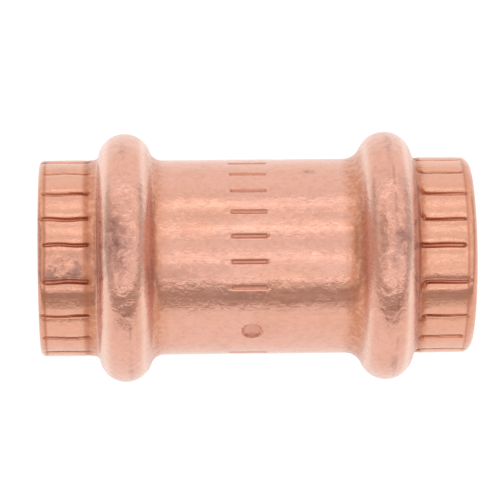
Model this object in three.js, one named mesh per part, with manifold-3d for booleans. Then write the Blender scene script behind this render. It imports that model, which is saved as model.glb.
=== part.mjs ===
// Straight press coupling for half-inch copper water tube, in millimetres, +Z up.
//
// One copper body is formed from a single length of tube. Each end has a grooved collar, then a hollow bead
// that holds a rubber seal ring. Stamped dashes round the middle raise ribs inside, and those ribs stop the
// two water tubes halfway. The axis runs along X, with the origin on the axis at mid-length. The coupling
// lies on its two beads.

import * as THREE from 'three';
import { mergeVertices } from 'three/addons/utils/BufferGeometryUtils.js';
import Module from 'manifold-3d';

const wasm = await Module();
wasm.setup();

// Driving dimensions
const LENGTH = 40.5;
const BORE_RADIUS = 8.05; // clears a water tube 15.875 across
const BODY_RADIUS = 9.2;
const COLLAR_RADIUS = 9.27;

// Seal beads, measured from mid-length and from the axis
const BEAD_STATION = 12.25;
const BEAD_CREST_RADIUS = 11.75;
const BEAD_ROUND = 2.5;
const BODY_FILLET = 0.9;
const COLLAR_FILLET = 0.5;
const CHANNEL_CREST_RADIUS = 10.7;
const CHANNEL_ROUND = 1.5;
const CHANNEL_LIP = 2.2;

// Rims
const RIM_OUTER_ROUND = 0.45;
const RIM_INNER_CHAMFER = 0.2;

// Seal rings
const RING_SECTION_RADIUS = 1.3;
const RING_CENTRE_RADIUS = 9.0;

// Collar grooves
const GROOVE_COUNT = 20;
const GROOVE_WIDTH = 0.4;
const GROOVE_DEPTH = 0.35;
const GROOVE_INNER_STATION = 15.35;
const GROOVE_OUTER_STATION = 19.35;
const LEFT_GROOVE_START = -64; // degrees round the axis
const RIGHT_GROOVE_START = -61.8;

// Stamped dashes and the ribs that they raise inside
const DASH_COUNT = 24;
const DASH_START = -56.5;
const DASH_STATION = -0.75;
const DASH_LENGTH = 3.4;
const DASH_WIDTH = 0.38;
const DASH_DEPTH = 0.3;
const RIB_WIDTH = 0.8;
const RIB_HEIGHT = 0.5;
const RIB_ROOT = 0.25;

// A plain round dimple takes the place of three dashes
const DIMPLE_ANGLE = -11;
const DIMPLE_STATION = -0.55;
const DIMPLE_RADIUS = 1.05;
const DIMPLE_DEPTH = 0.3;
const DIMPLE_CLEARANCE_ANGLE = 24;

// How finely the round surfaces are divided
const TURN_SEGMENTS = 48;
const FILLET_STEPS = 3;
const BEAD_STEPS = 8;
const CHANNEL_STEPS = 6;
const RIM_STEPS = 2;
const RING_STEPS = 12;
const DIMPLE_SEGMENTS = 12;
const CUTTER_MARGIN = 1; // how far a cutter stands proud of the surface

const copper = new THREE.MeshStandardMaterial({
  color: 0xdc9c7e,
  roughness: 0.32,
  metalness: 1,
});

function makeRubber() {
  return new THREE.MeshStandardMaterial({ color: 0x141414, roughness: 0.6, metalness: 0 });
}

// Outlines are lists of points with x as the radius and y as the station along the axis.
function outlinePoint(station, radius) {
  return new THREE.Vector2(radius, station);
}

// Points along an arc, with the angle measured from the axis direction towards larger radius.
function arc(station, radius, round, startAngle, endAngle, steps) {
  const points = [];
  for (let step = 0; step <= steps; step += 1) {
    const angle = startAngle + ((endAngle - startAngle) * step) / steps;
    points.push(outlinePoint(station + round * Math.cos(angle), radius + round * Math.sin(angle)));
  }
  return points;
}

// A hump made of a crest arc that flows through two fillets into plain tube on each side.
// It runs from smaller to larger stations.
function hump(crestRadius, round, steps, before, after) {
  const centre = crestRadius - round;
  const beforeRise = before.base + before.fillet - centre;
  const afterRise = after.base + after.fillet - centre;
  const beforeAngle = Math.asin(beforeRise / (round + before.fillet));
  const afterAngle = Math.asin(afterRise / (round + after.fillet));
  const beforeStation = BEAD_STATION - (round + before.fillet) * Math.cos(beforeAngle);
  const afterStation = BEAD_STATION + (round + after.fillet) * Math.cos(afterAngle);
  return [
    ...arc(beforeStation, centre + beforeRise, before.fillet, -Math.PI / 2, -beforeAngle, FILLET_STEPS),
    ...arc(BEAD_STATION, centre, round, Math.PI - beforeAngle, afterAngle, steps).slice(1),
    ...arc(
      afterStation,
      centre + afterRise,
      after.fillet,
      Math.PI + afterAngle,
      (3 * Math.PI) / 2,
      FILLET_STEPS,
    ).slice(1),
  ];
}

// The copper wall's section at positive stations: out along the outside, round the rim and back inside.
function rightHalfOutline() {
  const rim = LENGTH / 2;
  const outside = hump(
    BEAD_CREST_RADIUS,
    BEAD_ROUND,
    BEAD_STEPS,
    { base: BODY_RADIUS, fillet: BODY_FILLET },
    { base: COLLAR_RADIUS, fillet: COLLAR_FILLET },
  );
  const lip = { base: BORE_RADIUS, fillet: CHANNEL_LIP };
  const inside = hump(CHANNEL_CREST_RADIUS, CHANNEL_ROUND, CHANNEL_STEPS, lip, lip);
  const rimRound = arc(
    rim - RIM_OUTER_ROUND,
    COLLAR_RADIUS - RIM_OUTER_ROUND,
    RIM_OUTER_ROUND,
    Math.PI / 2,
    0,
    RIM_STEPS,
  );
  return [
    outlinePoint(0, BODY_RADIUS),
    ...outside,
    ...rimRound,
    outlinePoint(rim, BORE_RADIUS + RIM_INNER_CHAMFER),
    outlinePoint(rim - RIM_INNER_CHAMFER, BORE_RADIUS),
    ...inside.reverse(),
    outlinePoint(0, BORE_RADIUS),
  ];
}

function wholeOutline() {
  const right = rightHalfOutline();
  const left = right.map((point) => outlinePoint(-point.y, point.x)).reverse();
  return [...right, ...left.slice(1)];
}

// Turns an outline round the X axis.
function turned(outline) {
  const geometry = new THREE.LatheGeometry(outline, TURN_SEGMENTS);
  geometry.rotateZ(-Math.PI / 2);
  return geometry;
}

function toSolid(geometry) {
  const bare = geometry.clone();
  bare.deleteAttribute('normal');
  bare.deleteAttribute('uv');
  const merged = mergeVertices(bare);
  return new wasm.Manifold(
    new wasm.Mesh({
      numProp: 3,
      vertProperties: new Float32Array(merged.attributes.position.array),
      triVerts: new Uint32Array(merged.index.array),
    }),
  );
}

function toGeometry(solid) {
  const mesh = solid.getMesh();
  const geometry = new THREE.BufferGeometry();
  geometry.setAttribute('position', new THREE.BufferAttribute(mesh.vertProperties, 3));
  geometry.setIndex(new THREE.BufferAttribute(mesh.triVerts, 1));
  geometry.computeVertexNormals();
  return geometry;
}

// Moves a tool from the axis to a radius, then round the axis. Angle 0 faces -Y and +90 faces down.
function placeRound(geometry, station, radius, degrees) {
  geometry.translate(station, -radius, 0);
  geometry.rotateX(THREE.MathUtils.degToRad(degrees));
  return toSolid(geometry);
}

// A long shallow cutter whose floor lies below the surface by the depth.
function slotCutter(length, width, depth, surface, station, degrees) {
  const height = depth + CUTTER_MARGIN;
  const geometry = new THREE.BoxGeometry(length, height, width);
  return placeRound(geometry, station, surface - depth + height / 2, degrees);
}

function grooveCutters(side, startAngle) {
  const length = GROOVE_OUTER_STATION - GROOVE_INNER_STATION;
  const station = (side * (GROOVE_OUTER_STATION + GROOVE_INNER_STATION)) / 2;
  const cutters = [];
  for (let index = 0; index < GROOVE_COUNT; index += 1) {
    const degrees = startAngle + (index * 360) / GROOVE_COUNT;
    cutters.push(slotCutter(length, GROOVE_WIDTH, GROOVE_DEPTH, COLLAR_RADIUS, station, degrees));
  }
  return cutters;
}

function isClearOfDimple(degrees) {
  const turn = THREE.MathUtils.euclideanModulo(degrees - DIMPLE_ANGLE + 180, 360) - 180;
  return Math.abs(turn) > DIMPLE_CLEARANCE_ANGLE;
}

function dashAngles() {
  const angles = [];
  for (let index = 0; index < DASH_COUNT; index += 1) {
    angles.push(DASH_START + (index * 360) / DASH_COUNT);
  }
  return angles.filter(isClearOfDimple);
}

function dashCutter(degrees) {
  return slotCutter(DASH_LENGTH, DASH_WIDTH, DASH_DEPTH, BODY_RADIUS, DASH_STATION, degrees);
}

function stopRib(degrees) {
  const height = RIB_HEIGHT + RIB_ROOT;
  const geometry = new THREE.BoxGeometry(DASH_LENGTH, height, RIB_WIDTH);
  return placeRound(geometry, DASH_STATION, BORE_RADIUS + RIB_ROOT - height / 2, degrees);
}

function dimpleCutter() {
  const height = DIMPLE_DEPTH + CUTTER_MARGIN;
  const geometry = new THREE.CylinderGeometry(DIMPLE_RADIUS, DIMPLE_RADIUS, height, DIMPLE_SEGMENTS);
  return placeRound(geometry, DIMPLE_STATION, BODY_RADIUS - DIMPLE_DEPTH + height / 2, DIMPLE_ANGLE);
}

function couplingBody() {
  let body = toSolid(turned(wholeOutline()));
  const cutters = [
    ...grooveCutters(-1, LEFT_GROOVE_START),
    ...grooveCutters(1, RIGHT_GROOVE_START),
    ...dashAngles().map(dashCutter),
    dimpleCutter(),
  ];
  for (const rib of dashAngles().map(stopRib)) {
    body = body.add(rib);
  }
  for (const cutter of cutters) {
    body = body.subtract(cutter);
  }
  const mesh = new THREE.Mesh(toGeometry(body), copper);
  mesh.name = 'coupling_body';
  return mesh;
}

function sealRing(name, station) {
  const section = arc(0, RING_CENTRE_RADIUS, RING_SECTION_RADIUS, 2 * Math.PI, 0, RING_STEPS);
  section[RING_STEPS].copy(section[0]);
  const mesh = new THREE.Mesh(turned(section), makeRubber());
  mesh.name = name;
  mesh.position.x = station;
  return mesh;
}

const group = new THREE.Group();
group.add(couplingBody());
group.add(sealRing('left_seal_ring', -BEAD_STATION));
group.add(sealRing('right_seal_ring', BEAD_STATION));

export default group;
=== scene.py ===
"""Looks of the straight copper press coupling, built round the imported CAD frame.

The body and the seal rings are worked out in millimetres and become metres when their meshes are made. The
studio and the camera are in metres.
"""

import math
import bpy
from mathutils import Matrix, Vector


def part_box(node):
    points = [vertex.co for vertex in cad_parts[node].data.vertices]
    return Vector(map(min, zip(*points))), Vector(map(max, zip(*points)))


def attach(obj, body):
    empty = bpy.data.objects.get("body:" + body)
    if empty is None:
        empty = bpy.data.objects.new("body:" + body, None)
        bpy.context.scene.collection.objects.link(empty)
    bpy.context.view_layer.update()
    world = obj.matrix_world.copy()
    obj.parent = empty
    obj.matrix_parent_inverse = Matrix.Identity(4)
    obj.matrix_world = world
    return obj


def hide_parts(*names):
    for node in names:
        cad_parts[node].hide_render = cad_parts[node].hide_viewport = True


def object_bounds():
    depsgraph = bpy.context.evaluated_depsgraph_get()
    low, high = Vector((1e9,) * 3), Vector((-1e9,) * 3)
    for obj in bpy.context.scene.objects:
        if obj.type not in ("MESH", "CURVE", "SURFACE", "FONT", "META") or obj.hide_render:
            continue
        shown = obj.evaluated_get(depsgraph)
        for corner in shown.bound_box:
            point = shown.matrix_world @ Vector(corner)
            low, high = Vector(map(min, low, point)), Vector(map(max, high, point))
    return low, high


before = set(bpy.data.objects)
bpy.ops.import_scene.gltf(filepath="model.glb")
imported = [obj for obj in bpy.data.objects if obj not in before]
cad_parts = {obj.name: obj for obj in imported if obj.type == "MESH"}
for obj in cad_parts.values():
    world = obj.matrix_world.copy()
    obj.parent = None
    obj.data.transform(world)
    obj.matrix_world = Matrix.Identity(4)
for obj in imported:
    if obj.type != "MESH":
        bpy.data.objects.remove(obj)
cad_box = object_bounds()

from types import SimpleNamespace

import bpy
import numpy as np
from mathutils import Matrix, Vector

MM = 0.001

# Overall sizes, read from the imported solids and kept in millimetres
body_low, body_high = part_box("coupling_body")
ring_low, ring_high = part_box("right_seal_ring")
HALF_LENGTH = (body_high[0] - body_low[0]) / 2 / MM
BEAD_CREST_RADIUS = (body_high[2] - body_low[2]) / 2 / MM
BEAD_STATION = (ring_low[0] + ring_high[0]) / 2 / MM
RING_SECTION_RADIUS = (ring_high[0] - ring_low[0]) / 2 / MM
RING_CENTRE_RADIUS = (ring_high[2] - ring_low[2]) / 2 / MM - RING_SECTION_RADIUS

# Formed copper section, in millimetres
BORE_RADIUS = 8.05
BODY_RADIUS = 9.2
COLLAR_RADIUS = 9.27
BEAD_ROUND = 2.5
COLLAR_FILLET = 0.5
CHANNEL_CREST_RADIUS = 10.7
CHANNEL_ROUND = 1.5
CHANNEL_LIP = 2.2
RIM_INNER_ROUND = 0.2

# Angles run round the axis in degrees: 0 faces -Y and 90 faces down
CAMERA_ELEVATION = 60.0
FACING = -CAMERA_ELEVATION  # the part of the turn that faces the camera at rest

# What differs between the two ends. Stations are distances from mid-length. A band is a station, a
# half-width, a strength and the power of its bell. The hollows beside each bead are darkened brown with
# painted shade, and the bead's sides are lightened with a pale painted highlight. Each collar has a shallow
# line where its rolled face starts and another at its rim, both darkened with painted shade. The grooves'
# bend and hook are in degrees and their phase is in radians.
LEFT = SimpleNamespace(
    body_fillet=1.2,
    rim_round=0.55,
    groove_start=FACING - 4.0,
    groove_inner=15.4,
    groove_outer=20.3,
    groove_phase=0.4,
    groove_bend=0.35,
    groove_hook=0.0,
    face_line=15.8,
    face_line_half_width=0.26,
    face_line_darkness=0.65,
    rim_line=19.65,
    valley_shades=((9.45, 0.7, 0.82, 2), (15.15, 0.3, 1.0, 2), (15.7, 0.35, 1.0, 2)),
    flank_highlights=((10.5, 0.3, 0.8, 2), (14.2, 0.42, 0.8, 2)),
)
RIGHT = SimpleNamespace(
    body_fillet=1.7,
    rim_round=0.9,
    groove_start=FACING - 1.8,
    groove_inner=14.95,
    groove_outer=19.7,
    groove_phase=2.0,
    groove_bend=0.12,
    groove_hook=3.2,
    face_line=15.1,
    face_line_half_width=0.2,
    face_line_darkness=0.5,
    rim_line=19.4,
    valley_shades=((9.25, 1.0, 1.0, 4), (14.8, 0.45, 0.8, 2), (15.3, 0.4, 0.8, 2)),
    flank_highlights=((10.15, 0.3, 0.8, 2), (13.9, 0.3, 0.8, 2)),
)
FACE_LINE_DEPTH = 0.06
RIM_LINE_HALF_WIDTH = 0.13
RIM_LINE_DEPTH = 0.05
# Painted shade in the rim line
RIM_LINE_DARKNESS = 0.85
# Painted shade over the rim's rounding past the rim line, and the overall strength of the painted shade in
# the hollows beside the beads
RIM_SHADE = 0.3
RIM_SHADE_RISE = 0.2
VALLEY_SHADE_STRENGTH = 0.97

# A groove's or dash's floor ends at its own share of the half-width, and its wall ends at this share
LIP_SHARE = 1.15

# Rolled grooves on the collars
GROOVE_COUNT = 20
GROOVE_HALF_WIDTH = 0.21
GROOVE_DEPTH = 0.34
GROOVE_FLOOR_SHARE = 0.4
# Painted shade on a groove's floor; halfway down its walls the painted shade is full
GROOVE_FLOOR_DARKNESS = 0.82
GROOVE_RUN_IN = 0.25
GROOVE_RUN_OUT = 0.5
GROOVE_INNER_FULLNESS = 1.15
GROOVE_FADE = 0.4  # fullness lost by the outer end
LAND_CROWN = 0.085  # how much lower a land is beside a groove than between two
SHOULDER_START = 0.1
SHOULDER_END = 0.8

# Unevenness of the rolling. Shifts are in degrees, and rates in radians for each millimetre or each groove.
GROOVE_SHIFT = 1.2  # of every groove
GROOVE_SWAY = 3.0  # to and fro once round the collar
FIRST_GROOVE_SHIFTS = ((0.15, 1.05, -5.2, 2), (2, 0.7, 1.0, 2))  # bands, counted in grooves
BEND_RATE = 1.7
WIDTH_RATE = 2.4
WIDTH_SPREAD = 0.2  # as a share of the half-width
LENGTH_RATE = 1.9
LENGTH_SPREAD = 0.2
HOOK_LENGTH = 0.6
HOOK_TURNS = (3, 20)  # a groove's turn from the camera's side where its hook starts and where it is full

# Stamped dashes round the middle, and the ribs that they raise inside
DASH_COUNT = 24
DASH_START = FACING + 2.9
DASH_STATION = -0.75
DASH_HALF_LENGTH = 1.75
DASH_HALF_WIDTH = 0.22
DASH_DEPTH = 0.2
DASH_END_SLOPE = 0.18
DASH_FLOOR_SHARE = 0.55
# Painted shade on a dash's floor and on its walls
DASH_FLOOR_DARKNESS = 0.6
DASH_WALL_DARKNESS = 0.95
RIB_HALF_WIDTH = 0.5
RIB_HEIGHT = 0.45
RIB_TOP_SHARE = 0.2
RIB_END_SLOPE = 0.6
RIB_OVERRUN = 0.1

# The plain dimple among the dashes
DIMPLE_ANGLE = FACING + 49.0
DIMPLE_STATION = -0.55
DIMPLE_RADIUS = 1.05
DIMPLE_DEPTH = 0.3
DIMPLE_FLOOR_SHARE = 0.7
# Painted shade on the dimple's floor; halfway down its wall the painted shade is full
DIMPLE_FLOOR_DARKNESS = 0.4
DIMPLE_CLEARANCE_ANGLE = 24.0

# Where the outside changes from tube to bead and back, and where the collar's calmer and warmer faces begin
BEAD_RISE = (9.4, 10.2)
BEAD_FALL = (14.3, 15.0)
CALM_COLLAR = (15.6, 16.2)
WARM_COLLAR = (15.2, 16.0)

# How far the small waves and the crumpled copper spread from the middle of a bead
CREST_HALF_WIDTH = 2.4
CRUMPLE_HALF_WIDTH = 1.6

# Soft waves in the copper: height, wavelength and seed. The insets keep them within the CAD's size.
BROAD_WAVES = (0.016, 9.0, 3)
SHORT_WAVES = (0.007, 3.2, 5)
CREST_WAVES = (0.004, 1.5, 8)
COLLAR_CALM = 0.5  # share of the short waves that the collars lose
TUBE_INSET = 0.02
BEAD_INSET = 0.035
WAVE_COUNT = 14
WAVE_SPREAD = (0.75, 1.4)  # shortest and longest, as shares of the wavelength
WAVE_PEAK = 1.4  # usual peak of the summed waves, over the square root of their count

# Seal rings: the flash is a faint moulding line, and its width is a sine of the turn round the section
FLASH_HEIGHT = 0.03
FLASH_WIDTH = 0.09
RING_ROWS = 40
RING_COLUMNS = 240

# Die parting lines on the bead crests: station at the camera's side, lean from there to the lower edge
LEFT_SEAM = (-11.98, 0.28)
RIGHT_SEAM = (12.65, 0.15)
SEAM_CORE = 0.05
SEAM_EDGE = 0.22

# Darker patches, tarnish in places and painted shade in others, such as the faint ones at a turn of 30
# degrees on the beads: station, turn from the camera's side in degrees, half-length, half-width, strength
STAINS_AND_SHADE = (
    (-13.2, -9, 0.9, 2.0, 1.0),
    (-12.3, -4, 0.9, 2.1, 0.9),
    (-12.2, 30, 1.4, 1.6, 0.15),
    (12.1, -13, 1.5, 1.3, 0.3),
    (12.85, -9, 1.1, 2.0, 0.75),
    (12.5, -32, 1.6, 1.4, 0.3),
    (12.3, 30, 1.4, 1.3, 0.15),
    (12.4, 1, 0.7, 1.1, 0.6),
    (-12.45, -59, 0.25, 0.9, 0.6),
    (12.25, -63, 0.22, 2.0, 0.6),
    (-11.75, 66, 0.22, 1.8, 0.5),
    (12.55, 61, 0.22, 1.6, 0.5),
    (4.85, -59, 0.5, 0.4, 0.9),
    (-17.8, 6, 2.6, 1.3, 1.0),
    (-19.9, -10, 0.35, 2.0, 0.4),
    (-15.7, 2, 0.5, 2.2, 0.6),
    (-12.3, -24, 1.6, 1.1, 0.25),
    (-9.2, 14, 0.9, 2.2, 0.4),
    (-7.5, 9, 3.4, 0.9, 0.35),
    (17.1, -56, 1.9, 0.25, 0.6),
)

# Mesh columns round the tube, which crowd together at the cuts, and the samples that place them
COLUMNS = 384
INNER_COLUMNS = COLUMNS // 2
CROWDING = 4.5  # extra columns at a cut for each one elsewhere
CROWDING_WIDTH = 0.5
TURN_SAMPLES = 7201
COLUMN_BLEND = (3.0, 15.0)  # stations between which the middle's columns become the collar's

# Mesh rows along the tube: steps in each arc, and the spacing on straight stretches. A hump's steps are its
# fillets' and its crest's.
BEAD_STEPS = (7, 36)
CHANNEL_STEPS = (6, 14)
RIM_STEPS = 6
RIM_INNER_STEPS = 4
DASH_ROWS_END = 2.6
DASH_ROW_STEP = 0.2
MIDDLE_ROW_STEP = 0.55
COLLAR_ROW_STEP = 0.24
RIM_ROWS_LENGTH = 0.6
RIM_ROW_STEP = 0.12
RIB_ROW_STEP = 0.3
BORE_ROW_STEP = 0.8

# Copper colours
PINK = (0.765, 0.412, 0.318, 1)
ORANGE = (0.765, 0.395, 0.285, 1)
COLLAR_ORANGE = (0.76, 0.375, 0.25, 1)
PATINA_BROWN = (0.62, 0.30, 0.22, 1)
FLECK_BROWN = (0.64, 0.32, 0.23, 1)
# Painted shade in the hollows beside the beads and over the rims' rounding
VALLEY_SHADE_COLOUR = (0.56, 0.215, 0.11, 1)
# Painted highlight on the beads' sides
FLANK_PAINTED_HIGHLIGHT = (0.98, 0.71, 0.60, 1)
SEAM_BROWN = (0.45, 0.22, 0.16, 1)
# Tarnish in places and painted shade in others
STAIN_AND_SHADE_COLOUR = (0.34, 0.165, 0.14, 1)
# Painted shade in the grooves, dashes, dimple and shallow lines
CUT_SHADE_COLOUR = (0.45, 0.135, 0.065, 1)
BORE_BROWN = (0.62, 0.30, 0.20, 1)
SHEEN_TINT = (1.0, 0.88, 0.82, 1)

# Rubber colours
RUBBER_DARK = (0.010, 0.010, 0.011, 1)
RUBBER_WORN = (0.024, 0.024, 0.026, 1)

# Studio colours, and the floor's glow
WHITE = (1, 1, 1, 1)
FLOOR_WHITE = (0.14, 0.14, 0.14)
FLOOR_GLOW = 0.96
CARD_GREY = (0.46, 0.395, 0.36)
CARD_PALE = (0.62, 0.57, 0.55)

# Studio places, in metres. Azimuth 0 is the camera's side and 90 is +X.
FLOOR_REACH = 3.0
X_AXIS = Vector((1, 0, 0))
Y_AXIS = Vector((0, 1, 0))

# Cards: name, azimuth, elevation, distance, width and height
LOW_CARD = ("low_card", 0, 13, 0.75, 1.9, 0.33)
END_CARDS = (
    ("left_card", -76, 50, 0.5, 0.36, 0.30),
    ("left_end_card", -90, 10, 0.7, 1.2, 0.28),
    ("right_end_card", 90, 10, 0.7, 1.2, 0.28),
)

# Strip lights parallel to the tube: name, elevation from the camera's side, radiance and height
STRIPS = (
    ("strip_rear", 160.0, 0.10, 0.30),
    ("strip_back", 124.6, 1.1, 0.055),
    ("strip_top", 93.0, 1.25, 0.055),
    ("strip_camera", 59.0, 1.2, 0.05),
    ("strip_front", 35.5, 1.0, 0.04),
)
STRIP_DISTANCE = 0.6
STRIP_LENGTH = 1.4

# Camera, in metres and degrees
CAMERA_DISTANCE = 0.292
CAMERA_YAW = 1.92
CAMERA_ROLL = 0.57
FRAME_WIDTH = 0.04732
TARGET_LEFT = 0.00047  # both targets are counted from the middle of the CAD
TARGET_UP = 0.00062
SENSOR_WIDTH = 36  # millimetres
CLIP_START = 0.01


# ---------------------------------------------------------------- outline

def arc(station, radius, round_radius, start, end, steps):
    """Points (station, radius) along an arc, its angle measured from the axis direction outwards."""
    angles = np.linspace(start, end, steps + 1)
    return np.column_stack(
        (station + round_radius * np.cos(angles), radius + round_radius * np.sin(angles))
    )


def run(start, end, radius, step):
    """Evenly spaced points along a straight stretch of tube, without its two ends."""
    count = max(int(round(abs(end - start) / step)), 1)
    stations = np.linspace(start, end, count + 1)[1:-1]
    return np.column_stack((stations, np.full(len(stations), radius)))


def hump(crest_radius, round_radius, before, after, steps):
    """A crest arc that flows through a fillet into plain tube on each side, given as radius and fillet."""
    base_before, fillet_before = before
    base_after, fillet_after = after
    fillet_steps, crest_steps = steps
    centre = crest_radius - round_radius
    rise_before = base_before + fillet_before - centre
    rise_after = base_after + fillet_after - centre
    angle_before = math.asin(rise_before / (round_radius + fillet_before))
    angle_after = math.asin(rise_after / (round_radius + fillet_after))
    station_before = BEAD_STATION - (round_radius + fillet_before) * math.cos(angle_before)
    station_after = BEAD_STATION + (round_radius + fillet_after) * math.cos(angle_after)
    first = arc(
        station_before, centre + rise_before, fillet_before, -math.pi / 2, -angle_before, fillet_steps
    )
    crest = arc(
        BEAD_STATION, centre, round_radius, math.pi - angle_before, angle_after, crest_steps
    )
    last = arc(
        station_after,
        centre + rise_after,
        fillet_after,
        math.pi + angle_after,
        1.5 * math.pi,
        fillet_steps,
    )
    return np.vstack((first, crest[1:], last[1:]))


def outside_half(end):
    """The outside of one end from mid-length to the rim's flat face, at positive stations."""
    bead = hump(
        BEAD_CREST_RADIUS,
        BEAD_ROUND,
        (BODY_RADIUS, end.body_fillet),
        (COLLAR_RADIUS, COLLAR_FILLET),
        BEAD_STEPS,
    )
    rim_start = HALF_LENGTH - end.rim_round
    rim_rows_start = rim_start - RIM_ROWS_LENGTH
    rim = arc(rim_start, COLLAR_RADIUS - end.rim_round, end.rim_round, math.pi / 2, 0, RIM_STEPS)
    return np.vstack(
        (
            [[0, BODY_RADIUS]],
            run(0, DASH_ROWS_END, BODY_RADIUS, DASH_ROW_STEP),
            [[DASH_ROWS_END, BODY_RADIUS]],
            run(DASH_ROWS_END, bead[0, 0], BODY_RADIUS, MIDDLE_ROW_STEP),
            bead,
            run(bead[-1, 0], rim_rows_start, COLLAR_RADIUS, COLLAR_ROW_STEP),
            run(rim_rows_start, rim_start, COLLAR_RADIUS, RIM_ROW_STEP),
            rim,
        )
    )


def inside_half():
    """The inside from the rim's flat face back to mid-length, at positive stations."""
    lip = (BORE_RADIUS, CHANNEL_LIP)
    channel = hump(CHANNEL_CREST_RADIUS, CHANNEL_ROUND, lip, lip, CHANNEL_STEPS)
    edge = HALF_LENGTH - RIM_INNER_ROUND
    rim = arc(edge, BORE_RADIUS + RIM_INNER_ROUND, RIM_INNER_ROUND, 0, -math.pi / 2, RIM_INNER_STEPS)
    return np.vstack(
        (
            rim,
            run(edge, channel[-1, 0], BORE_RADIUS, BORE_ROW_STEP),
            channel[::-1],
            run(channel[0, 0], DASH_ROWS_END, BORE_RADIUS, BORE_ROW_STEP),
            [[DASH_ROWS_END, BORE_RADIUS]],
            run(DASH_ROWS_END, 0, BORE_RADIUS, RIB_ROW_STEP),
            [[0, BORE_RADIUS]],
        )
    )


def mirrored(points):
    """The same stretch at negative stations, walked the other way."""
    return (points * [-1, 1])[::-1]


def outward_normals(points):
    """Unit normals (along the axis, outwards) of an outline walked with the metal on its right."""
    along = np.gradient(points, axis=0)
    along /= np.linalg.norm(along, axis=1)[:, None]
    return np.column_stack((-along[:, 1], along[:, 0]))


def each_end(outline):
    """The outline's rows on each side of mid-length, with that end's settings."""
    on_left = outline[:, 0] < 0
    return (on_left, LEFT), (~on_left, RIGHT)


# ---------------------------------------------------------------- features round the axis

def smooth(value, low, high):
    """0 below low, 1 above high, and a smooth step between."""
    t = np.clip((value - low) / (high - low), 0, 1)
    return t * t * (3 - 2 * t)


def bell(value, centre, width, power=2):
    """1 at the centre and near 0 beyond the width. A power of 4 gives a flatter top and steeper sides."""
    return np.exp(-(((value - centre) / width) ** power))


def band_sum(value, bands):
    """The sum of some bands, each a centre, a half-width, a strength and the power of its bell."""
    total = 0
    for centre, width, strength, power in bands:
        total = total + strength * bell(value, centre, width, power)
    return total


def turn_between(angles, centre):
    """Signed turn from centre to each angle, from -180 to 180 degrees."""
    return (np.asarray(angles) - centre + 180) % 360 - 180


def distance_round(angles, centre, radius):
    """Signed distance round a surface from centre to each angle, in millimetres."""
    return turn_between(angles, centre) * math.pi / 180 * radius


def groove_angles(start):
    """Centres of the collar grooves, which are spaced unevenly, most of all beside the first one rolled."""
    index = np.arange(GROOVE_COUNT) - GROOVE_COUNT // 2
    turn = index * 360 / GROOVE_COUNT
    wander = GROOVE_SHIFT + GROOVE_SWAY * np.sin(np.radians(turn))
    return start + turn + wander + band_sum(index, FIRST_GROOVE_SHIFTS)


def dash_angles():
    """Centres of the evenly spaced dashes, without those that the dimple takes the place of."""
    angles = DASH_START + np.arange(DASH_COUNT) * 360 / DASH_COUNT
    return angles[np.abs(turn_between(angles, DIMPLE_ANGLE)) > DIMPLE_CLEARANCE_ANGLE]


def dimple_walls():
    """Angles where the dimple's two walls are steepest."""
    middle_of_wall = (1 + DIMPLE_FLOOR_SHARE) / 2 * DIMPLE_RADIUS
    turn = math.degrees(middle_of_wall / BODY_RADIUS)
    return DIMPLE_ANGLE - turn, DIMPLE_ANGLE + turn


def crowded_columns(centres):
    """Column angles round one turn, packed closer together near each centre."""
    fine = np.linspace(0, 360, TURN_SAMPLES)
    density = np.ones_like(fine)
    width = math.degrees(CROWDING_WIDTH / BODY_RADIUS)
    for centre in centres:
        density += CROWDING * bell(turn_between(fine, centre), 0, width, 4)
    total = np.concatenate(([0], np.cumsum((density[1:] + density[:-1]) / 2)))
    wanted = np.linspace(0, total[-1], COLUMNS, endpoint=False)
    return np.interp(wanted, total, fine)


DASHES = dash_angles()
LEFT_COLUMNS = crowded_columns(groove_angles(LEFT.groove_start))
MIDDLE_COLUMNS = crowded_columns((*DASHES, *dimple_walls()))
RIGHT_COLUMNS = crowded_columns(groove_angles(RIGHT.groove_start))


def column_angles(station):
    """Column angles at one station: the collar's, the middle's, or a blend of the two."""
    share = smooth(abs(station), *COLUMN_BLEND)
    collar = LEFT_COLUMNS if station < 0 else RIGHT_COLUMNS
    return MIDDLE_COLUMNS + share * (collar - MIDDLE_COLUMNS)


# ---------------------------------------------------------------- relief
# Stations come in a column, one for each row of points, and angles in a grid of rows and columns.

def soft_waves(points, height, wavelength, seed):
    """Smooth deterministic undulation of about the height, with features near the wavelength."""
    rng = np.random.default_rng(seed)
    directions = rng.normal(size=(WAVE_COUNT, 3))
    directions /= np.linalg.norm(directions, axis=1)[:, None]
    lengths = wavelength * rng.uniform(*WAVE_SPREAD, size=WAVE_COUNT)
    phases = rng.uniform(0, 2 * math.pi, size=WAVE_COUNT)
    total = np.zeros(points.shape[:-1])
    for direction, length, phase in zip(directions, lengths, phases):
        total += np.sin(points @ direction * (2 * math.pi / length) + phase)
    return height * (total / math.sqrt(WAVE_COUNT) / WAVE_PEAK)


def wall_share(fullness):
    """1 halfway down a cut's wall and 0 at its lip and on its floor."""
    return 4 * fullness * (1 - fullness)


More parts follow.
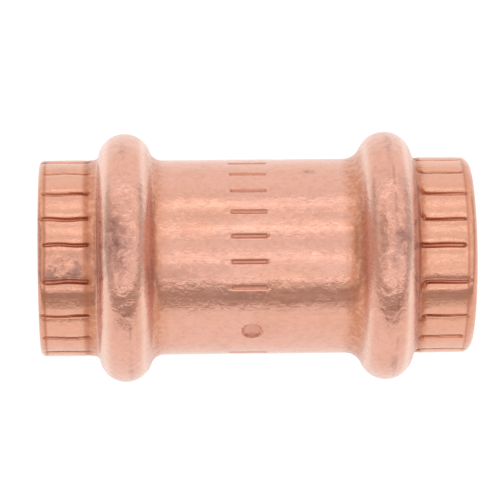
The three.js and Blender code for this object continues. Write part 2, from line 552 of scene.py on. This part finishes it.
def groove_depth(reach, angle, end):
    """How deep the rolled grooves and the lands' shoulders lie, and how strong the painted shade in the
    grooves is.
    """
    inner = end.groove_inner
    phase = end.groove_phase
    start = smooth(reach, inner, inner + GROOVE_RUN_IN)
    fade = GROOVE_INNER_FULLNESS - GROOVE_FADE * smooth(reach, inner, end.groove_outer)
    fullness = np.zeros_like(angle)
    shoulder = np.zeros_like(angle)
    for number, centre in enumerate(groove_angles(end.groove_start)):
        side_turn = turn_between(centre, FACING)
        hook = end.groove_hook * smooth(abs(side_turn), *HOOK_TURNS) * math.copysign(1, side_turn)
        bend = end.groove_bend * np.sin(reach * BEND_RATE + number * BEND_RATE + phase)
        bend = bend + hook * (1 - smooth(reach, inner, inner + HOOK_LENGTH))
        across = np.abs(distance_round(angle, centre + bend, COLLAR_RADIUS))
        half_width = GROOVE_HALF_WIDTH * (1 + WIDTH_SPREAD * math.sin(number * WIDTH_RATE + phase))
        wall = 1 - smooth(across, GROOVE_FLOOR_SHARE * half_width, LIP_SHARE * half_width)
        outer = end.groove_outer - LENGTH_SPREAD * (1 + math.sin(number * LENGTH_RATE + phase))
        stop = 1 - smooth(reach, outer - GROOVE_RUN_OUT, outer)
        fullness = np.maximum(fullness, wall * start * stop * fade)
        slope = 1 - smooth(across, SHOULDER_START, SHOULDER_END)
        shoulder = np.maximum(shoulder, slope * start * stop)
    darkness = np.maximum(GROOVE_FLOOR_DARKNESS * fullness, wall_share(fullness))
    return fullness * GROOVE_DEPTH + shoulder * LAND_CROWN, darkness


def dash_depth(station, angle):
    """How deep the stamped dashes cut, and how strong the painted shade in them is: on their walls more
    than on their floors.
    """
    fullness = np.zeros_like(angle)
    end_start = DASH_HALF_LENGTH - DASH_END_SLOPE
    ends = 1 - smooth(np.abs(station - DASH_STATION), end_start, DASH_HALF_LENGTH)
    for centre in DASHES:
        across = np.abs(distance_round(angle, centre, BODY_RADIUS))
        wall = 1 - smooth(across, DASH_FLOOR_SHARE * DASH_HALF_WIDTH, LIP_SHARE * DASH_HALF_WIDTH)
        fullness = np.maximum(fullness, wall * ends)
    darkness = np.maximum(DASH_FLOOR_DARKNESS * fullness, DASH_WALL_DARKNESS * wall_share(fullness))
    return fullness * DASH_DEPTH, darkness


def dimple_depth(station, angle):
    """How deep the round dimple cuts, and how strong the painted shade in it is: on its wall more than on
    its floor.
    """
    across = distance_round(angle, DIMPLE_ANGLE, BODY_RADIUS)
    distance = np.hypot(across, station - DIMPLE_STATION)
    fullness = 1 - smooth(distance, DIMPLE_FLOOR_SHARE * DIMPLE_RADIUS, DIMPLE_RADIUS)
    darkness = np.maximum(DIMPLE_FLOOR_DARKNESS * fullness, wall_share(fullness))
    return fullness * DIMPLE_DEPTH, darkness


def rib_height(station, angle):
    """The ribs that the dashes raise inside the bore."""
    height = np.zeros_like(angle)
    rib_end = DASH_HALF_LENGTH + RIB_OVERRUN
    ends = 1 - smooth(np.abs(station - DASH_STATION), rib_end - RIB_END_SLOPE, rib_end)
    for centre in DASHES:
        across = np.abs(distance_round(angle, centre, BORE_RADIUS))
        wall = 1 - smooth(across, RIB_TOP_SHARE * RIB_HALF_WIDTH, RIB_HALF_WIDTH)
        height = np.maximum(height, wall * ends * RIB_HEIGHT)
    return height


def body_relief(outline, points, angles):
    """Lift of the outside surface in millimetres, and how strong the painted shade is at each point for
    lying in a cut or a shallow line.
    """
    station = outline[:, :1]
    reach = np.abs(station)
    lift = np.zeros_like(angles)
    cut = np.zeros_like(angles)
    for rows, end in each_end(outline):
        depth, darkness = groove_depth(reach[rows], angles[rows], end)
        face_line = bell(reach[rows], end.face_line, end.face_line_half_width)
        rim_line = bell(reach[rows], end.rim_line, RIM_LINE_HALF_WIDTH)
        lift[rows] -= depth + FACE_LINE_DEPTH * face_line + RIM_LINE_DEPTH * rim_line
        # Painted shade in the face line and the rim line
        lines = np.maximum(end.face_line_darkness * face_line, RIM_LINE_DARKNESS * rim_line)
        cut[rows] = np.maximum(darkness, lines)
    for depth, darkness in (dash_depth(station, angles), dimple_depth(station, angles)):
        lift -= depth
        cut = np.maximum(cut, darkness)
    on_bead = smooth(reach, *BEAD_RISE) * (1 - smooth(reach, *BEAD_FALL))
    on_crest = bell(reach, BEAD_STATION, CREST_HALF_WIDTH) * on_bead
    lift += soft_waves(points, *BROAD_WAVES)
    lift += soft_waves(points, *SHORT_WAVES) * (1 - COLLAR_CALM * smooth(reach, *CALM_COLLAR))
    lift += soft_waves(points, *CREST_WAVES) * on_crest
    lift -= TUBE_INSET * (1 - on_bead) + BEAD_INSET * on_bead
    return lift, cut


# ---------------------------------------------------------------- paint on the outside

def stain_and_shade_cover(station, angles):
    """How strongly the soft darker patches, partly tarnish and partly painted shade, cover each point, from
    0 to 1.
    """
    cover = np.zeros_like(angles)
    for centre, turn, length, width, strength in STAINS_AND_SHADE:
        across = distance_round(angles, FACING + turn, BODY_RADIUS)
        distance = ((station - centre) / length) ** 2 + (across / width) ** 2
        cover = np.maximum(cover, strength * np.exp(-distance))
    return cover


def flank_highlight_and_valley_shade(outline):
    """How strong the pale painted highlight on the beads' sides and the painted shade in the hollows beside
    them and over the rims are, for each row.
    """
    flank_highlight = np.zeros((len(outline), 1))
    valley_shade = np.zeros((len(outline), 1))
    for rows, end in each_end(outline):
        reach = np.abs(outline[rows, :1])
        flank_highlight[rows] = band_sum(reach, end.flank_highlights)
        # Painted shade over the rim's rounding, joined to the painted shade beside the beads
        rim = RIM_SHADE * smooth(reach - end.rim_line, 0, RIM_SHADE_RISE)
        valley_shade[rows] = VALLEY_SHADE_STRENGTH * np.clip(band_sum(reach, end.valley_shades) + rim, 0, 1)
    return flank_highlight, valley_shade


def add_attribute(piece, name, outside, inside=0.0):
    """One number for each point of the body: the outside points' own, then one for the whole inside."""
    values = np.full(len(piece.data.vertices), inside, dtype=np.float32)
    values[:outside.size] = outside.ravel()
    layer = piece.data.attributes.new(name, "FLOAT", "POINT")
    layer.data.foreach_set("value", values)


def paint_body(piece, outline, angles, cut):
    """Stores how strongly each effect of the copper material covers each point, painted shade and a painted
    highlight among them.
    """
    reach = np.abs(outline[:, :1])
    flank_highlight, valley_shade = flank_highlight_and_valley_shade(outline)
    covers = {
        "cut": cut,
        "bead": bell(reach, BEAD_STATION, CRUMPLE_HALF_WIDTH, 4),
        "flank_highlight": flank_highlight,
        "collar": smooth(reach, *WARM_COLLAR),
        "valley_shade": valley_shade,
        "stain_and_shade": stain_and_shade_cover(outline[:, :1], angles),
    }
    for name, cover in covers.items():
        add_attribute(piece, name, np.broadcast_to(cover, angles.shape))
    add_attribute(piece, "inside", np.zeros_like(angles), inside=1.0)


# ---------------------------------------------------------------- mesh building

def ring_points(outline, normals, angles, lift):
    """Vertices of a surface of revolution, each lifted along its own outline normal."""
    station = outline[:, :1] + normals[:, :1] * lift
    radius = outline[:, 1:] + normals[:, 1:] * lift
    turn = np.radians(angles)
    return np.stack((station, -radius * np.cos(turn), -radius * np.sin(turn)), axis=-1)


def band_faces(first_point, rows, columns, closed=False):
    """Quads between neighbouring rows of equal length. A closed band joins its last row to its first."""
    faces = []
    for row in range(rows if closed else rows - 1):
        near = first_point + row * columns
        far = first_point + (row + 1) % rows * columns
        for column in range(columns):
            after = (column + 1) % columns
            faces.append((near + column, near + after, far + after, far + column))
    return faces


def rim_faces(fine_row, coarse_row, fine_first):
    """Flat rim faces that join a row of COLUMNS points to a row with half as many."""
    faces = []
    for column in range(INNER_COLUMNS):
        after = (column + 1) % INNER_COLUMNS
        fine = [fine_row + (2 * column + step) % COLUMNS for step in range(3)]
        coarse = [coarse_row + column, coarse_row + after]
        if fine_first:
            faces.append((*fine, coarse[1], coarse[0]))
        else:
            faces.append((*coarse, *fine[::-1]))
    return faces


def body_faces(outer_rows, inner_rows):
    """Faces of the outside, the right rim, the inside and the left rim."""
    inner_first = outer_rows * COLUMNS
    inner_last_row = inner_first + (inner_rows - 1) * INNER_COLUMNS
    faces = band_faces(0, outer_rows, COLUMNS)
    faces += rim_faces(inner_first - COLUMNS, inner_first, fine_first=True)
    faces += band_faces(inner_first, inner_rows, INNER_COLUMNS)
    faces += rim_faces(0, inner_last_row, fine_first=False)
    return faces


def add_object(name, points, faces, material):
    """A smooth-shaded piece from points in millimetres."""
    mesh = bpy.data.meshes.new(name)
    mesh.from_pydata((points * MM).tolist(), [], faces)
    mesh.polygons.foreach_set("use_smooth", np.ones(len(mesh.polygons), dtype=bool))
    mesh.materials.append(material)
    mesh.update()
    piece = bpy.data.objects.new(name, mesh)
    bpy.context.scene.collection.objects.link(piece)
    return piece


def make_body(material):
    """The copper body: a detailed outside and a plainer inside, joined at the two rims."""
    outside = np.vstack((mirrored(outside_half(LEFT)), outside_half(RIGHT)[1:]))
    inside = np.vstack((inside_half(), mirrored(inside_half())[1:]))
    outer_angles = np.array([column_angles(station) for station in outside[:, 0]])
    inner_angles = np.array([column_angles(station)[::2] for station in inside[:, 0]])
    outer_normals = outward_normals(outside)
    plain = ring_points(outside, outer_normals, outer_angles, np.zeros_like(outer_angles))
    lift, cut = body_relief(outside, plain, outer_angles)
    lift *= 1 - np.abs(outer_normals[:, :1]) ** 4  # the lift dies away towards the rims' flat faces
    outer = ring_points(outside, outer_normals, outer_angles, lift)
    raised = rib_height(inside[:, :1], inner_angles)
    inner = ring_points(inside, outward_normals(inside), inner_angles, raised)
    points = np.vstack((outer.reshape(-1, 3), inner.reshape(-1, 3)))
    piece = add_object("copper_body", points, body_faces(len(outer), len(inner)), material)
    paint_body(piece, outside, outer_angles, cut)
    return piece


def make_ring(name, station, material):
    """A moulded O-ring with a faint flash line round its outer and inner crest."""
    around = np.linspace(0, 2 * math.pi, RING_ROWS, endpoint=False)
    flash = FLASH_HEIGHT * bell(np.sin(around), 0, FLASH_WIDTH)
    section = RING_SECTION_RADIUS - FLASH_HEIGHT + flash
    outline = np.column_stack(
        (station - section * np.sin(around), RING_CENTRE_RADIUS + section * np.cos(around))
    )
    turn = np.linspace(0, 360, RING_COLUMNS, endpoint=False)
    angles = np.broadcast_to(turn, (RING_ROWS, RING_COLUMNS))
    points = ring_points(outline, np.zeros_like(outline), angles, np.zeros(angles.shape))
    faces = band_faces(0, RING_ROWS, RING_COLUMNS, closed=True)
    return add_object(name, points.reshape(-1, 3), [face[::-1] for face in faces], material)


# ---------------------------------------------------------------- materials

def even(scale):
    """The same scale on all three axes."""
    return (scale, scale, scale)


class Nodes:
    """A short way to build a material's node tree."""

    def __init__(self, name):
        self.material = bpy.data.materials.new(name)
        self.material.use_nodes = True
        self.tree = self.material.node_tree
        self.shader = self.tree.nodes["Principled BSDF"]

    def add(self, kind, **inputs):
        """A node with some of its inputs set. An underscore stands for the space in an input's name."""
        node = self.tree.nodes.new(kind)
        for key, value in inputs.items():
            self.feed(node.inputs[key.replace("_", " ")], value)
        return node

    def feed(self, socket, value):
        """Links a node's output to a socket, or sets a plain value on it."""
        if isinstance(value, bpy.types.NodeSocket):
            self.tree.links.new(value, socket)
        else:
            socket.default_value = value

    def math(self, operation, first, second, clamp=False):
        """The result of an arithmetic operation on two values."""
        node = self.tree.nodes.new("ShaderNodeMath")
        node.operation = operation
        node.use_clamp = clamp
        self.feed(node.inputs[0], first)
        self.feed(node.inputs[1], second)
        return node.outputs[0]

    def attribute(self, name):
        """The value that the mesh stores under a name at each point."""
        node = self.tree.nodes.new("ShaderNodeAttribute")
        node.attribute_name = name
        return node.outputs["Fac"]

    def place(self, scale):
        """Object coordinates stretched by a scale for each axis, in features per metre."""
        coordinates = self.add("ShaderNodeTexCoord").outputs["Object"]
        node = self.add("ShaderNodeMapping", Vector=coordinates, Scale=scale)
        return node.outputs["Vector"]

    def noise(self, scale, detail=3.0, rough=0.5, warp=0.0):
        """Cloudy noise round 0.5, fixed to the object."""
        node = self.add(
            "ShaderNodeTexNoise",
            Vector=self.place(scale),
            Scale=1.0,
            Detail=detail,
            Roughness=rough,
            Distortion=warp,
        )
        return node.outputs["Fac"]

    def between(self, value, low, high, to_low=0.0, to_high=1.0):
        """Maps low..high to to_low..to_high, clamped."""
        node = self.tree.nodes.new("ShaderNodeMapRange")
        node.interpolation_type = "SMOOTHSTEP"
        for socket, number in zip(node.inputs, (value, low, high, to_low, to_high)):
            self.feed(socket, number)
        return node.outputs["Result"]

    def mix(self, factor, first, second):
        """A colour that goes from first to second as the factor goes from 0 to 1."""
        node = self.tree.nodes.new("ShaderNodeMix")
        node.data_type = "RGBA"
        self.feed(node.inputs["Factor"], factor)
        self.feed(node.inputs["A"], first)
        self.feed(node.inputs["B"], second)
        return node.outputs["Result"]

    def seam(self, station, lean):
        """A hairline round a bead's crest, in a plane that leans along the tube. Sizes in millimetres."""
        down = math.radians(90 + FACING)
        slope = lean / BEAD_CREST_RADIUS
        node = self.tree.nodes.new("ShaderNodeVectorMath")
        node.operation = "DOT_PRODUCT"
        self.feed(node.inputs[0], self.place(even(1 / MM)))
        self.feed(node.inputs[1], (1, math.cos(down) * slope, math.sin(down) * slope))
        offset = self.math("SUBTRACT", node.outputs["Value"], station)
        return self.between(self.math("ABSOLUTE", offset, 0.0), SEAM_CORE, SEAM_EDGE, 1.0, 0.0)

    def bump(self, height, distance, under=None):
        """The normal of dents up to a distance deep, in metres, laid over another normal."""
        node = self.add("ShaderNodeBump", Height=height, Distance=distance, Strength=1.0)
        if under is not None:
            self.feed(node.inputs["Normal"], under)
        return node.outputs["Normal"]


def copper_material():
    """Drawn copper: two base tones under layers of colour, among them painted shade and a painted
    highlight, with drawing streaks and soft dents.

    Noise scales are in features per metre, and the dents' depths in millimetres.
    """
    n = Nodes("copper_drawn")
    blotches = n.between(n.noise(even(170), detail=4, rough=0.55, warp=0.6), 0.36, 0.66)
    patina = n.between(n.noise(even(330), detail=5, rough=0.6, warp=0.4), 0.50, 0.74)
    fleck = n.between(n.noise(even(1900), rough=0.6), 0.42, 0.70)
    streak = n.noise((90, 2600, 2600), rough=0.6)
    edge_noise = n.noise(even(1100), detail=5, rough=0.7, warp=0.5)
    ragged = n.between(edge_noise, 0.34, 0.66, to_low=0.1, to_high=1.5)
    wear_noise = n.noise(even(2000), detail=4, rough=0.65)
    worn = n.between(wear_noise, 0.35, 0.65, to_low=0.45, to_high=1.3)
    cut = n.attribute("cut")
    inside = n.attribute("inside")
    valley_shade = n.math("MULTIPLY", n.attribute("valley_shade"), worn, clamp=True)
    stain_and_shade = n.math("MULTIPLY", n.attribute("stain_and_shade"), ragged, clamp=True)
    seams = n.math("ADD", n.seam(*LEFT_SEAM), n.seam(*RIGHT_SEAM))
    seams = n.math("MULTIPLY", seams, n.between(n.noise(even(300)), 0.5, 0.64))

    colour = n.mix(blotches, PINK, ORANGE)
    colour_layers = (
        (n.attribute("collar"), 0.7, COLLAR_ORANGE),
        (patina, 0.40, PATINA_BROWN),
        (fleck, 0.45, FLECK_BROWN),
        # Painted shade in the hollows beside the beads and over the rims
        (valley_shade, 0.82, VALLEY_SHADE_COLOUR),
        # Painted highlight on the beads' sides
        (n.attribute("flank_highlight"), 0.6, FLANK_PAINTED_HIGHLIGHT),
        (seams, 0.45, SEAM_BROWN),
        # Tarnish in places and painted shade in others
        (stain_and_shade, 0.9, STAIN_AND_SHADE_COLOUR),
        # Painted shade in the grooves, dashes, dimple and shallow lines
        (cut, 0.85, CUT_SHADE_COLOUR),
        (inside, 0.4, BORE_BROWN),
    )
    for cover, strength, layer_colour in colour_layers:
        colour = n.mix(n.math("MULTIPLY", cover, strength), colour, layer_colour)
    n.feed(n.shader.inputs["Base Color"], colour)

    rough = n.between(streak, 0.3, 0.7, to_low=0.17, to_high=0.28)
    duller = ((patina, 0.08), (stain_and_shade, 0.1), (valley_shade, 0.1), (cut, 0.2), (inside, 0.1))
    for cover, extra in duller:
        rough = n.math("ADD", rough, n.math("MULTIPLY", cover, extra))
    n.feed(n.shader.inputs["Roughness"], rough)

    peel = n.noise(even(1500), detail=2, warp=0.3)
    creases = n.noise(even(2600), rough=0.6, warp=1.2)
    crumple = n.noise(even(750), warp=0.6)
    patches = n.between(n.noise(even(260), detail=2), 0.40, 0.60)
    dents = (
        (streak, 0.008),
        (peel, 0.034),
        (n.math("MULTIPLY", creases, patches), 0.023),
        (n.math("MULTIPLY", crumple, n.attribute("bead")), 0.125),
        (n.math("MULTIPLY", seams, -1.0), 0.02),
    )
    normal = None
    for height, depth in dents:
        normal = n.bump(height, depth * MM, normal)
    n.feed(n.shader.inputs["Normal"], normal)
    n.shader.inputs["Metallic"].default_value = 1.0
    n.shader.inputs["Sheen Weight"].default_value = 0.5
    n.shader.inputs["Sheen Roughness"].default_value = 0.4
    n.shader.inputs["Sheen Tint"].default_value = SHEEN_TINT
    return n.material


def rubber_material():
    """Matt moulded rubber with a faint mottling."""
    n = Nodes("seal_rubber_moulded")
    mottling = n.noise(even(700), detail=4)
    n.feed(n.shader.inputs["Base Color"], n.mix(mottling, RUBBER_DARK, RUBBER_WORN))
    rough = n.between(n.noise(even(1800)), 0.3, 0.7, to_low=0.38, to_high=0.52)
    n.feed(n.shader.inputs["Roughness"], rough)
    n.feed(n.shader.inputs["Normal"], n.bump(n.noise(even(2400)), 0.006 * MM))
    return n.material


def plain_material(name, colour, glow=0.0):
    """A dull even surface for the studio, which can give off white light."""
    n = Nodes(name)
    n.shader.inputs["Base Color"].default_value = (*colour, 1)
    n.shader.inputs["Roughness"].default_value = 1.0
    n.shader.inputs["Specular IOR Level"].default_value = 0.0
    if glow:
        n.shader.inputs["Emission Color"].default_value = WHITE
        n.shader.inputs["Emission Strength"].default_value = glow
    return n.material


# ---------------------------------------------------------------- studio

def direction_at(azimuth, elevation):
    """Unit vector towards a place round the object."""
    a = math.radians(azimuth)
    e = math.radians(elevation)
    return Vector((math.sin(a) * math.cos(e), -math.cos(a) * math.cos(e), math.sin(e)))


def facing_matrix(place, across):
    """A frame at place whose +Z looks back at the origin and whose X runs along across."""
    back = -place.normalized()
    side = (across - back * across.dot(back)).normalized()
    up = back.cross(side)
    return Matrix.Translation(place) @ Matrix((side, up, back)).transposed().to_4x4()


def add_sheet(name, corners, material):
    """One flat four-cornered face."""
    mesh = bpy.data.meshes.new(name)
    mesh.from_pydata(corners, [], [(0, 1, 2, 3)])
    mesh.materials.append(material)
    sheet = bpy.data.objects.new(name, mesh)
    bpy.context.scene.collection.objects.link(sheet)
    return sheet


def rectangle(half_width, half_height, z):
    """Corners of a level rectangle centred on the Z axis."""
    return [
        (-half_width, -half_height, z),
        (half_width, -half_height, z),
        (half_width, half_height, z),
        (-half_width, half_height, z),
    ]


def add_floor():
    """A wide glowing floor at the height of the beads' lowest points."""
    corners = rectangle(FLOOR_REACH, FLOOR_REACH, cad_box[0][2])
    floor = add_sheet("floor", corners, plain_material("floor_white", FLOOR_WHITE, glow=FLOOR_GLOW))


def add_card(card, across, material):
    """A flat studio card that faces the object and shows only in reflections."""
    name, azimuth, elevation, distance, width, height = card
    panel = add_sheet(name, rectangle(width / 2, height / 2, 0), material)
    panel.matrix_world = facing_matrix(direction_at(azimuth, elevation) * distance, across)
    panel.visible_camera = False


def add_strip_light(name, elevation, radiance, height):
    """A long soft strip parallel to the tube, at an elevation counted from the camera's side."""
    light = bpy.data.lights.new(name, "AREA")
    light.shape = "RECTANGLE"
    light.size = STRIP_LENGTH
    light.size_y = height
    light.energy = radiance * math.pi * STRIP_LENGTH * height
    strip = bpy.data.objects.new(name, light)
    place = direction_at(0, elevation) * STRIP_DISTANCE
    strip.matrix_world = facing_matrix(place, X_AXIS) @ Matrix.Rotation(math.pi, 4, "X")
    bpy.context.scene.collection.objects.link(strip)


def make_studio():
    """Floor, cards, strip lights and a white world."""
    add_floor()
    add_card(LOW_CARD, X_AXIS, plain_material("card_grey", CARD_GREY))
    pale = plain_material("card_pale", CARD_PALE)
    for card in END_CARDS:
        add_card(card, Y_AXIS, pale)
    for strip in STRIPS:
        add_strip_light(*strip)
    world = bpy.data.worlds.new("studio")
    world.use_nodes = True
    background = world.node_tree.nodes["Background"]
    background.inputs["Color"].default_value = WHITE
    background.inputs["Strength"].default_value = 1.0
    bpy.context.scene.world = world
    bpy.context.scene.view_settings.view_transform = "Standard"


def make_camera():
    """A long lens that looks down on the coupling, with its right end a little farther away."""
    yaw = math.radians(CAMERA_YAW)
    roll = math.radians(CAMERA_ROLL)
    tilt = math.radians(CAMERA_ELEVATION)
    back = Vector((-math.sin(yaw), -math.cos(yaw) * math.cos(tilt), math.cos(yaw) * math.sin(tilt)))
    level = (X_AXIS - back * back.x).normalized()
    upright = back.cross(level)
    right = level * math.cos(roll) - upright * math.sin(roll)
    up = back.cross(right)
    centre = (Vector(cad_box[0]) + Vector(cad_box[1])) / 2
    target = centre - right * TARGET_LEFT + up * TARGET_UP
    lens = bpy.data.cameras.new("camera")
    lens.sensor_width = SENSOR_WIDTH
    lens.lens = SENSOR_WIDTH * CAMERA_DISTANCE / FRAME_WIDTH
    lens.clip_start = CLIP_START
    camera = bpy.data.objects.new("camera", lens)
    axes = Matrix((right, up, back)).transposed().to_4x4()
    camera.matrix_world = Matrix.Translation(target + back * CAMERA_DISTANCE) @ axes
    bpy.context.scene.collection.objects.link(camera)
    bpy.context.scene.camera = camera


# ---------------------------------------------------------------- assembly

def place_piece(piece, node):
    """Puts a piece in the place of a CAD node, on the root body."""
    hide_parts(node)
    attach(piece, "root")


make_camera()
make_studio()
rubber = rubber_material()
place_piece(make_body(copper_material()), "coupling_body")
place_piece(make_ring("left_seal", -BEAD_STATION, rubber), "left_seal_ring")
place_piece(make_ring("right_seal", BEAD_STATION, rubber), "right_seal_ring")
